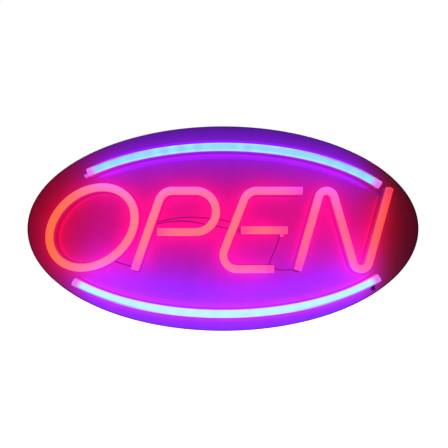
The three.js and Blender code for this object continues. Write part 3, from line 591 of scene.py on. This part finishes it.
def sections(node):
    """Centre and across-direction of each section of a tube: a point on its crown, midway between
    the two shoulders where the dome starts."""
    points = unique_points(node)
    level = BOARD_FRONT - points[:, 1]
    crowns = points[np.abs(level - FLEX_HEIGHT) < SAME_PLACE][:, (0, 2)]
    shoulders = points[np.abs(level - FLEX_HEIGHT + FLEX_DOME) < SAME_PLACE][:, (0, 2)]
    found = []
    for centre in crowns:
        reach = np.hypot(*(shoulders - centre).T)
        for shoulder in shoulders[np.abs(reach - FLEX_WIDTH / 2) < SAME_PLACE]:
            across = (shoulder - centre) / (FLEX_WIDTH / 2)
            opposite = centre - across * FLEX_WIDTH / 2
            if np.hypot(*(shoulders - opposite).T).min() < SAME_PLACE:
                found.append((centre, across))
                break
    return found


def quarter_turn(direction):
    return np.array((-direction[1], direction[0]))


def next_section(current, heading, others):
    """The nearest section ahead that one plain bend can lead to, or None at a tube's end."""
    best = None
    for index, (centre, across) in others.items():
        chord = centre - current
        length = np.hypot(*chord)
        ahead = quarter_turn(across)
        if ahead @ chord < 0:
            ahead = -ahead
        if heading @ chord < LEAST_AHEAD * length:
            continue
        middle = (heading + ahead) / np.hypot(*(heading + ahead))
        if middle @ chord < math.cos(BEND_TOLERANCE) * length:
            continue
        if best is None or length < best[0]:
            best = (length, index, centre, ahead)
    if best is None or best[0] < LEAST_STEP:
        return None
    return best[1:]


def tube_path(node):
    """The sections of a tube in order, as (centre, heading) pairs."""
    found = sections(node)
    others = dict(enumerate(found[1:]))
    start, across = found[0]
    halves = []
    for heading in (quarter_turn(across), -quarter_turn(across)):
        centre, walk = start, []
        while True:
            step = next_section(centre, heading, others)
            if step is None:
                break
            index, centre, heading = step
            del others[index]
            walk.append((centre, heading))
        halves.append(walk)
    forward, backward = halves
    return [(c, -h) for c, h in reversed(backward)] + [(start, quarter_turn(across))] + forward


def smooth_path(path):
    """Fine stations along a tube: each bend between two sections is drawn as an even curve."""
    stations = [path[0]]
    for (a, heading_a), (b, heading_b) in zip(path, path[1:]):
        turn = math.acos(max(-1.0, min(1.0, float(heading_a @ heading_b))))
        chord = np.hypot(*(b - a))
        handle = chord / 3
        if turn > STRAIGHT_TURN:
            handle = 4 / 3 * math.tan(turn / 4) * chord / (2 * math.sin(turn / 2))
        controls = (a, a + handle * heading_a, b - handle * heading_b, b)
        steps = max(1, math.ceil(turn / TURN_STEP), math.ceil(chord / STATION_STEP))
        for k in range(1, steps + 1):
            t = k / steps
            s = 1 - t
            weights = (s**3, 3 * s * s * t, 3 * s * t * t, t**3)
            slopes = (-3 * s * s, 3 * s * s - 6 * s * t, 6 * s * t - 3 * t * t, 3 * t * t)
            centre = sum(w * c for w, c in zip(weights, controls))
            slope = sum(w * c for w, c in zip(slopes, controls))
            stations.append((centre, slope / np.hypot(*slope)))
    return stations


def from_start(name, stations):
    """The stations in the order of the tube itself: from its start cap to its end cap."""
    if name == CLOSED_TUBE:
        return stations
    low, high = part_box(name + "_start_cap")
    start_cap = np.array(((low.x + high.x) / 2, (low.z + high.z) / 2))
    first, last = (np.hypot(*(stations[k][0] - start_cap)) for k in (0, -1))
    if first < last:
        return stations
    return [(centre, -heading) for centre, heading in reversed(stations)]


def traced_tube(name):
    return from_start(name, smooth_path(tube_path(name + "_diffuser")))


TUBES = {name: traced_tube(name) for name in LETTERS + ARCS}


# ------------------------------------------------------------------ mesh helpers


def mesh_object(name, points, faces, materials, sharp=30):
    mesh = bpy.data.meshes.new(name)
    mesh.from_pydata([tuple(p) for p in points], [], faces)
    mesh.validate()
    for material in materials:
        mesh.materials.append(material)
    mesh.shade_smooth()
    mesh.set_sharp_from_angle(angle=math.radians(sharp))
    made = bpy.data.objects.new(name, mesh)
    bpy.context.scene.collection.objects.link(made)
    return made


def set_attribute(mesh, name, values):
    layer = mesh.attributes.new(name, "FLOAT", "POINT")
    layer.data.foreach_set("value", np.asarray(values, np.float32))


def place_piece(piece, slot, *nodes, body="sign"):
    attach(piece, body)
    if nodes:
        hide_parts(*nodes)
    return piece


# ------------------------------------------------------------------ tubes


def flex_profile():
    """The strip's section as (across, height) points: a domed bar with a channel beneath."""
    half = FLEX_WIDTH / 2
    shoulder = FLEX_HEIGHT - FLEX_DOME
    inner = CHANNEL_WIDTH / 2
    fillet_steps = 3
    points = [(-inner, 0), (-half + FLEX_FILLET, 0)]
    for k in range(1, fillet_steps + 1):
        angle = math.pi / 2 * k / fillet_steps
        across = -half + FLEX_FILLET * (1 - math.sin(angle))
        points.append((across, FLEX_FILLET * (1 - math.cos(angle))))
    foot = list(points)
    for k in range(DOME_STEPS + 1):
        angle = math.pi * (1 - k / DOME_STEPS)
        points.append((half * math.cos(angle), shoulder + FLEX_DOME * math.sin(angle)))
    points += [(-across, height) for across, height in reversed(foot)]
    points += [(inner, CHANNEL_HEIGHT), (-inner, CHANNEL_HEIGHT)]
    return points


def light_at(names, height, places):
    """Light of these tubes at each place, seen as lines of light this far in front: 1 in front of
    a long straight tube."""
    total = np.zeros(len(places))
    for name in names:
        centres = np.array([c for c, _ in TUBES[name]])
        starts, ends = centres[:-1], centres[1:]
        lengths = np.hypot(*(ends - starts).T)
        for middle, length in zip((starts + ends) / 2, lengths):
            squared = ((places - middle) ** 2).sum(1)
            total += 2 / math.pi * length * height**3 / (squared + height**2) ** 2
    return total


def set_light(mesh, places):
    for source, names in LIGHT_SOURCES.items():
        for reach, height in LIGHT_REACHES.items():
            set_attribute(mesh, f"{source}_{reach}", light_at(names, height, places))


def lit_bar(name, stations, insets, ends, material):
    """Sweeps the strip's section along stations. insets draws the section in at each station, and
    ends holds how far each station is from the lit tube's nearer end."""
    profile = flex_profile()
    middle_height = FLEX_HEIGHT / 2
    points, along, across, gaps, places = [], [], [], [], []
    travelled = 0.0
    for k, (centre, heading) in enumerate(stations):
        if k:
            travelled += float(np.hypot(*(centre - stations[k - 1][0])))
        side = quarter_turn(heading)
        for offset, height in profile:
            width = offset * (1 - insets[k] / (FLEX_WIDTH / 2))
            rise = middle_height + (height - middle_height) * (1 - insets[k] / middle_height)
            x, z = centre + width * side
            points.append((x, BOARD_FRONT - rise, z))
            along.append(travelled)
            across.append(offset)
            gaps.append(ends[k])
            places.append(centre + SIDE_LOOK * offset * side)
    faces = bar_faces(len(stations), len(profile))
    made = mesh_object(name, points, faces, [material], TUBE_CORNER)
    face_outward(made)
    set_attribute(made.data, "along", along)
    set_attribute(made.data, "across", across)
    set_attribute(made.data, "end_gap", gaps)
    set_light(made.data, np.array(places))
    return made


def bar_faces(stations, count):
    faces = []
    for k in range(stations - 1):
        for i in range(count):
            j = (i + 1) % count
            faces.append((k * count + i, k * count + j, (k + 1) * count + j, (k + 1) * count + i))
    last = (stations - 1) * count
    return faces + [tuple(range(count)), tuple(range(last, last + count))]


def face_outward(piece):
    work = bmesh.new()
    work.from_mesh(piece.data)
    bmesh.ops.recalc_face_normals(work, faces=work.faces)
    work.to_mesh(piece.data)
    work.free()


def tube(name, material, slot):
    """A fine version of one diffuser, along the path read off the frame."""
    stations = TUBES[name]
    steps = [np.hypot(*(b[0] - a[0])) for a, b in zip(stations, stations[1:])]
    run = np.concatenate(([0.0], np.cumsum(steps)))
    ends = np.minimum(run, run[-1] - run)
    if name == CLOSED_TUBE:
        ends = np.full(len(run), run[-1])
    made = lit_bar(name + "_tube", stations, np.zeros(len(run)), ends, material)
    place_piece(made, slot, name + "_diffuser")


def cap(name, end, material):
    """A moulded cap that runs straight on from a tube's end and is rounded at its tip."""
    forward = end == "end"
    centre, heading = TUBES[name][-1 if forward else 0]
    ahead = heading if forward else -heading
    reaches = [CAP_SEAM, CAP_SEAM + CAP_LIP, CAP_LENGTH - CAP_ROUNDING]
    insets = [CAP_LIP, 0.0, 0.0]
    for degrees in (30, 60, 90):
        angle = math.radians(degrees)
        reaches.append(CAP_LENGTH - CAP_ROUNDING * (1 - math.sin(angle)))
        insets.append(CAP_ROUNDING * (1 - math.cos(angle)))
    stations = [(centre + reach * ahead, ahead) for reach in reaches]
    made = lit_bar(f"{name}_{end}_sleeve", stations, insets, [-reach for reach in reaches], material)
    place_piece(made, "cap_silicone", f"{name}_{end}_cap")


def make_tubes():
    looks = dict.fromkeys(LETTERS, ("silicone_warm", "silicone_warm"))
    looks["upper_arc"] = ("silicone_ice_upper", "silicone_ice")
    looks["lower_arc"] = ("silicone_ice_lower", "silicone_ice")
    for name, (material, slot) in looks.items():
        tube(name, MATERIALS[material], slot)
        if name != CLOSED_TUBE:
            cap(name, "start", MATERIALS[material])
            cap(name, "end", MATERIALS[material])


# ------------------------------------------------------------------ board


def drilled_holes():
    """Centre and radius of each hole, from the CAD board's front points away from its rim."""
    points = unique_points("acrylic_board")
    front = points[np.abs(points[:, 1] - BOARD_FRONT) < SAME_PLACE][:, (0, 2)]
    inside = front[np.hypot(front[:, 0] / HALF_WIDTH, front[:, 1] / HALF_HEIGHT) < 0.98]
    holes = []
    for upper in (True, False):
        ring = inside[(inside[:, 1] > 0) == upper]
        centre = (ring.min(0) + ring.max(0)) / 2
        holes.append((centre, float(np.hypot(*(ring - centre).T).max())))
    return holes


def board_solid():
    """A fine oval panel with rounded rims: rings of points from the front's centre round to the
    rear's centre."""
    thick = BOARD_HIGH.y - BOARD_LOW.y
    rings = [(share, 0.0, 0.0) for share in np.linspace(0, 1, BOARD_RINGS + 1)[1:-1]]
    for k in range(BOARD_EDGE_STEPS + 1):
        angle = math.pi / 2 * k / BOARD_EDGE_STEPS
        rings.append((1, BOARD_EDGE * (1 - math.sin(angle)), BOARD_EDGE * (1 - math.cos(angle))))
    for k in range(BOARD_EDGE_STEPS + 1):
        angle = math.pi / 2 * k / BOARD_EDGE_STEPS
        depth = thick - BOARD_EDGE * (1 - math.sin(angle))
        rings.append((1, BOARD_EDGE * (1 - math.cos(angle)), depth))
    rings += [(share, 0.0, thick) for share in np.linspace(1, 0, BOARD_REAR_RINGS + 1)[1:-1]]
    angles = np.linspace(0, 2 * math.pi, BOARD_SECTORS, endpoint=False)
    points = [(0, BOARD_FRONT, 0)]
    for share, inset, depth in rings:
        wide = HALF_WIDTH * share - inset
        tall = HALF_HEIGHT * share - inset
        for angle in angles:
            points.append((wide * math.cos(angle), BOARD_FRONT + depth, tall * math.sin(angle)))
    points.append((0, BOARD_HIGH.y, 0))
    faces = []
    count = BOARD_SECTORS
    for i in range(count):
        faces.append((0, 1 + i, 1 + (i + 1) % count))
        for r in range(len(rings) - 1):
            a = 1 + r * count
            b = a + count
            j = (i + 1) % count
            faces.append((a + i, b + i, b + j, a + j))
        final = 1 + (len(rings) - 1) * count
        faces.append((final + i, len(points) - 1, final + (i + 1) % count))
    made = mesh_object("acrylic_board_panel", points, faces, [])
    face_outward(made)
    return made


def drill(piece, holes):
    """Cuts round holes through the panel and keeps the result as its plain mesh."""
    for (x, z), radius in holes:
        bpy.ops.mesh.primitive_cylinder_add(
            vertices=HOLE_SECTORS,
            radius=radius,
            depth=HOLE_CUTTER,
            location=(x, 0, z),
            rotation=(math.pi / 2, 0, 0),
        )
        cutter = bpy.context.object
        modifier = piece.modifiers.new("hole", "BOOLEAN")
        modifier.object = cutter
        modifier.operation = "DIFFERENCE"
        bpy.context.view_layer.update()
        cut = piece.evaluated_get(bpy.context.evaluated_depsgraph_get())
        solid = bpy.data.meshes.new_from_object(cut)
        piece.modifiers.clear()
        piece.data = solid
        bpy.data.objects.remove(cutter)


def centreline(names, extra):
    """Closely spaced (x, z) points along these tubes, run on past each end by extra."""
    spacing = 0.5 * MM
    points = []
    for name in names:
        stations = TUBES[name]
        line = [c for c, _ in stations]
        if name != CLOSED_TUBE:
            line.insert(0, line[0] - extra * stations[0][1])
            line.append(line[-1] + extra * stations[-1][1])
        for a, b in zip(line, line[1:]):
            steps = max(1, round(float(np.hypot(*(b - a))) / spacing))
            points += [a + (b - a) * k / steps for k in range(steps)]
        points.append(line[-1])
    return np.array(points)


def gap_to(names, places):
    line = centreline(names, CAP_LENGTH - FLEX_WIDTH / 4)
    nearest = np.full(len(places), np.inf)
    batch = 200
    for start in range(0, len(line), batch):
        part = line[start : start + batch]
        reach = np.hypot(*(places[:, None, :] - part[None]).transpose(2, 0, 1)).min(1)
        nearest = np.minimum(nearest, reach)
    return nearest - FLEX_WIDTH / 2


def make_board():
    piece = board_solid()
    drill(piece, drilled_holes())
    mesh = piece.data
    mesh.materials.append(MATERIALS["board_face"])
    mesh.materials.append(MATERIALS["board_body"])
    for polygon in mesh.polygons:
        polygon.material_index = 0 if polygon.normal.y < -0.9 else 1
    mesh.shade_smooth()
    mesh.set_sharp_from_angle(angle=math.radians(BOARD_CORNER))
    places = np.array([(v.co.x, v.co.z) for v in mesh.vertices])
    set_attribute(mesh, "tube_gap", gap_to(LETTERS + ARCS, places))
    set_light(mesh, places)
    place_piece(piece, "board", "acrylic_board")


# ------------------------------------------------------------------ dabs of glue and the strip's tail


def blob(name, centre, radii, material, unevenness=0.12):
    """A rounded dab with a slightly lumpy surface."""
    work = bmesh.new()
    bmesh.ops.create_icosphere(work, subdivisions=4, radius=1)
    phases = [random.uniform(0, 2 * math.pi) for _ in range(3)]
    for vertex in work.verts:
        lumps = sum(math.sin(4 * c + phase) for c, phase in zip(vertex.co, phases)) / 3
        swell = 1 + unevenness * lumps
        vertex.co = Vector(c * r * swell for c, r in zip(vertex.co, radii)) + Vector(centre)
    mesh = bpy.data.meshes.new(name)
    work.to_mesh(mesh)
    work.free()
    mesh.materials.append(material)
    mesh.shade_smooth()
    made = bpy.data.objects.new(name, mesh)
    bpy.context.scene.collection.objects.link(made)
    return place_piece(made, "cap_silicone")


def make_glue():
    """Each wire hole is sealed round its wires, and a dab holds the wire under the E's bar."""
    middle = (BOARD_LOW.y + BOARD_HIGH.y) / 2
    half_plug = (BOARD_HIGH.y - BOARD_LOW.y) / 2 + 0.2 * MM
    for index, ((x, z), radius) in enumerate(drilled_holes()):
        radii = (radius, half_plug * 1.1, radius)
        blob(f"hole_seal_{index + 1}", (x, middle, z), radii, MATERIALS["dark_glue"], 0.04)
    low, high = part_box("letter_e_bar_end_cap")
    x = (low.x + high.x) / 2 - 1 * MM
    centre = (x, BOARD_FRONT - 0.8 * MM, low.z - 0.8 * MM)
    radii = (2.4 * MM, 1.3 * MM, 1.2 * MM)
    blob("wire_glue", centre, radii, MATERIALS["pale_glue"])


def make_tail():
    """The strip's moulded tail, a round stub that runs on from the upper arc's left cap."""
    centre, heading = TUBES["upper_arc"][0]
    ahead = -heading
    side = quarter_turn(ahead)
    tip = CAP_LENGTH + TAIL_LENGTH
    rings = [(CAP_LENGTH - 1 * MM, TAIL_RADIUS), (tip - TAIL_ROUNDING, TAIL_RADIUS)]
    for degrees in (30, 60, 90):
        angle = math.radians(degrees)
        reach = tip - TAIL_ROUNDING * (1 - math.sin(angle))
        rings.append((reach, TAIL_RADIUS - TAIL_ROUNDING * (1 - math.cos(angle))))
    points = []
    for reach, radius in rings:
        for k in range(TAIL_SECTORS):
            angle = 2 * math.pi * k / TAIL_SECTORS
            x, z = centre + reach * ahead + radius * math.cos(angle) * side
            points.append((x, BOARD_FRONT - TAIL_HEIGHT - radius * math.sin(angle), z))
    faces = bar_faces(len(rings), TAIL_SECTORS)
    made = mesh_object("upper_arc_tail", points, faces, [MATERIALS["tail_silicone"]], TUBE_CORNER)
    face_outward(made)
    place_piece(made, "cap_silicone")


# ------------------------------------------------------------------ CAD nodes that stay


def round_shading():
    """A node group that shades gentle corners as round and leaves sharp ones crisp."""
    group = bpy.data.node_groups.new("round_shading", "GeometryNodeTree")
    for way in ("INPUT", "OUTPUT"):
        group.interface.new_socket("Geometry", in_out=way, socket_type="NodeSocketGeometry")
    start = group.nodes.new("NodeGroupInput")
    end = group.nodes.new("NodeGroupOutput")
    corner = group.nodes.new("GeometryNodeInputMeshEdgeAngle")
    gentle = group.nodes.new("FunctionNodeCompare")
    gentle.operation = "LESS_THAN"
    gentle.inputs["B"].default_value = math.radians(CAD_CORNER)
    faces = group.nodes.new("GeometryNodeSetShadeSmooth")
    edges = group.nodes.new("GeometryNodeSetShadeSmooth")
    edges.domain = "EDGE"
    group.links.new(start.outputs[0], faces.inputs["Geometry"])
    group.links.new(faces.outputs[0], edges.inputs["Geometry"])
    group.links.new(corner.outputs["Unsigned Angle"], gentle.inputs["A"])
    group.links.new(gentle.outputs["Result"], edges.inputs["Shade Smooth"])
    group.links.new(edges.outputs[0], end.inputs[0])
    return group


ROUND_SHADING = round_shading()


def soften(node, width):
    """Joins a CAD node's corners, rounds its edges by width if it has one, and shades its turned
    surfaces as round."""
    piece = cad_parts[node]
    weld = piece.modifiers.new("weld", "WELD")
    weld.merge_threshold = 0.002 * MM
    if width:
        flats = piece.modifiers.new("flats", "DECIMATE")
        flats.decimate_type = "DISSOLVE"
        flats.angle_limit = math.radians(0.5)
        bevel = piece.modifiers.new("bevel", "BEVEL")
        bevel.width = width
        bevel.segments = 2
        bevel.limit_method = "ANGLE"
        bevel.angle_limit = math.radians(40)
        bevel.use_clamp_overlap = True
    shading = piece.modifiers.new("shading", "NODES")
    shading.node_group = ROUND_SHADING
    normals = piece.modifiers.new("normals", "WEIGHTED_NORMAL")
    normals.keep_sharp = True


def finish_node(node, material):
    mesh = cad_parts[node].data
    if mesh.materials:
        mesh.materials[0] = MATERIALS[material]
    else:
        mesh.materials.append(MATERIALS[material])


FINISHES = {
    "led_strip": [name + "_led_strip" for name in LETTERS + ARCS],
    "thin_wire": [
        "jumper_o_p", "jumper_p_e_high", "jumper_p_e_low", "jumper_e_bar", "jumper_e_n",
        "upper_arc_lead", "letter_lead",
    ],
    "lead_sheath": ["power_lead", "socket_wire_negative", "supply_cable"],
    "red_wire": ["socket_wire_positive"],
    "moulded_pvc": ["supply_plug_grip"],
    "black_plastic": [
        "cable_clip_upper", "cable_clip_lower", "control_box_base", "control_box_cover",
        "switch_housing", "supply_socket",
    ],
    "rocker_plastic": ["switch_rocker"],
    "feet_rubber": ["spacer_foot_left", "spacer_foot_right"],
    "foam_tape": ["hanger_tape_left", "hanger_tape_right"],
    "clear_acrylic": ["hanging_block_left", "hanging_block_right"],
    "plated_steel": [
        "cover_screw_left", "cover_screw_right", "supply_socket_pin", "supply_plug_barrel",
    ],
    "brass": ["switch_contact_lever", "switch_common_blade", "switch_load_blade"],
    "circuit_board": ["circuit_board"],
}


ROUNDING = {
    "control_box_base": 0.6 * MM,
    "control_box_cover": 0.4 * MM,
    "switch_rocker": 0.25 * MM,
    "supply_socket": 0.2 * MM,
    "hanging_block_left": 0.5 * MM,
    "hanging_block_right": 0.5 * MM,
    "cable_clip_upper": 0.3 * MM,
    "cable_clip_lower": 0.3 * MM,
    "spacer_foot_left": 0.8 * MM,
    "spacer_foot_right": 0.8 * MM,
    "hanger_tape_left": 0.15 * MM,
    "hanger_tape_right": 0.15 * MM,
    "cover_screw_left": 0.15 * MM,
    "cover_screw_right": 0.15 * MM,
}
UNROUNDED = (
    "supply_plug_grip", "supply_plug_barrel", "supply_cable",
    "power_lead", "upper_arc_lead", "letter_lead",
)


def finish_nodes():
    for material, nodes in FINISHES.items():
        for node in nodes:
            finish_node(node, material)
    for node, width in ROUNDING.items():
        soften(node, width)
    for node in UNROUNDED:
        soften(node, 0)


# ------------------------------------------------------------------ stage


def make_stage():
    ground = CAD_LOW.z - FLOOR_DROP
    turns = ((-1, -1), (1, -1), (1, 1), (-1, 1))
    corners = [(FLOOR_HALF * x, FLOOR_HALF * y, ground) for x, y in turns]
    tree = Tree("floor")
    shine = tree.add("LightPath", output="Is Camera Ray")
    tree.finish(
        Base_Color=(0.86, 0.86, 0.87),
        Roughness=0.9,
        Specular_IOR_Level=0.1,
        Emission_Color=(1.0, 1.0, 1.0),
        Emission_Strength=tree.times(shine, 0.9),
    )
    floor = mesh_object("floor", corners, [(0, 1, 2, 3)], [tree.material])
    floor.visible_glossy = False


def make_world():
    """White behind the object. For its light and reflections, pale behind it and dark in front, as
    lit signs are photographed."""
    world = bpy.data.worlds.new("studio")
    world.use_nodes = True
    nodes, links = world.node_tree.nodes, world.node_tree.links
    path = nodes.new("ShaderNodeLightPath")
    place = nodes.new("ShaderNodeTexCoord")
    toward = nodes.new("ShaderNodeVectorMath")
    toward.operation = "DOT_PRODUCT"
    toward.inputs[1].default_value = BRIGHT_SIDE
    links.new(place.outputs["Generated"], toward.inputs[0])
    surround = nodes.new("ShaderNodeMapRange")
    surround.inputs["To Min"].default_value = DARK_SIDE_LEVEL
    links.new(toward.outputs["Value"], surround.inputs["Value"])
    level = nodes.new("ShaderNodeMapRange")
    links.new(surround.outputs[0], level.inputs["To Min"])
    links.new(path.outputs["Is Camera Ray"], level.inputs["Value"])
    links.new(level.outputs[0], nodes["Background"].inputs["Strength"])
    nodes["Background"].inputs["Color"].default_value = (1, 1, 1, 1)
    bpy.context.scene.world = world


def area_light(name, place, target, size, power):
    data = bpy.data.lights.new(name, "AREA")
    data.size = size
    data.energy = power
    made = bpy.data.objects.new(name, data)
    bpy.context.scene.collection.objects.link(made)
    made.location = place
    made.rotation_euler = (Vector(target) - Vector(place)).to_track_quat("-Z", "Y").to_euler()


def make_lights():
    area_light("key", (-0.9, -1.1, 1.5), (0, 0, 0), 1.2, 9)
    area_light("rear", (0.9, 1.3, 1.2), (0, 0, 0), 1.2, 22)


def make_camera():
    data = bpy.data.cameras.new("camera")
    data.lens = CAMERA_LENS
    data.shift_x, data.shift_y = CAMERA_SHIFT
    data.clip_start = 0.01
    made = bpy.data.objects.new("camera", data)
    bpy.context.scene.collection.objects.link(made)
    made.location = CAMERA_PLACE
    made.rotation_euler = (math.pi / 2, 0, 0)
    bpy.context.scene.camera = made


def set_view():
    settings = bpy.context.scene.view_settings
    settings.view_transform = "Standard"
    settings.look = "None"


# ------------------------------------------------------------------ build

finish_nodes()
make_tubes()
make_board()
make_glue()
make_tail()
make_stage()
make_world()
make_lights()
make_camera()
set_view()
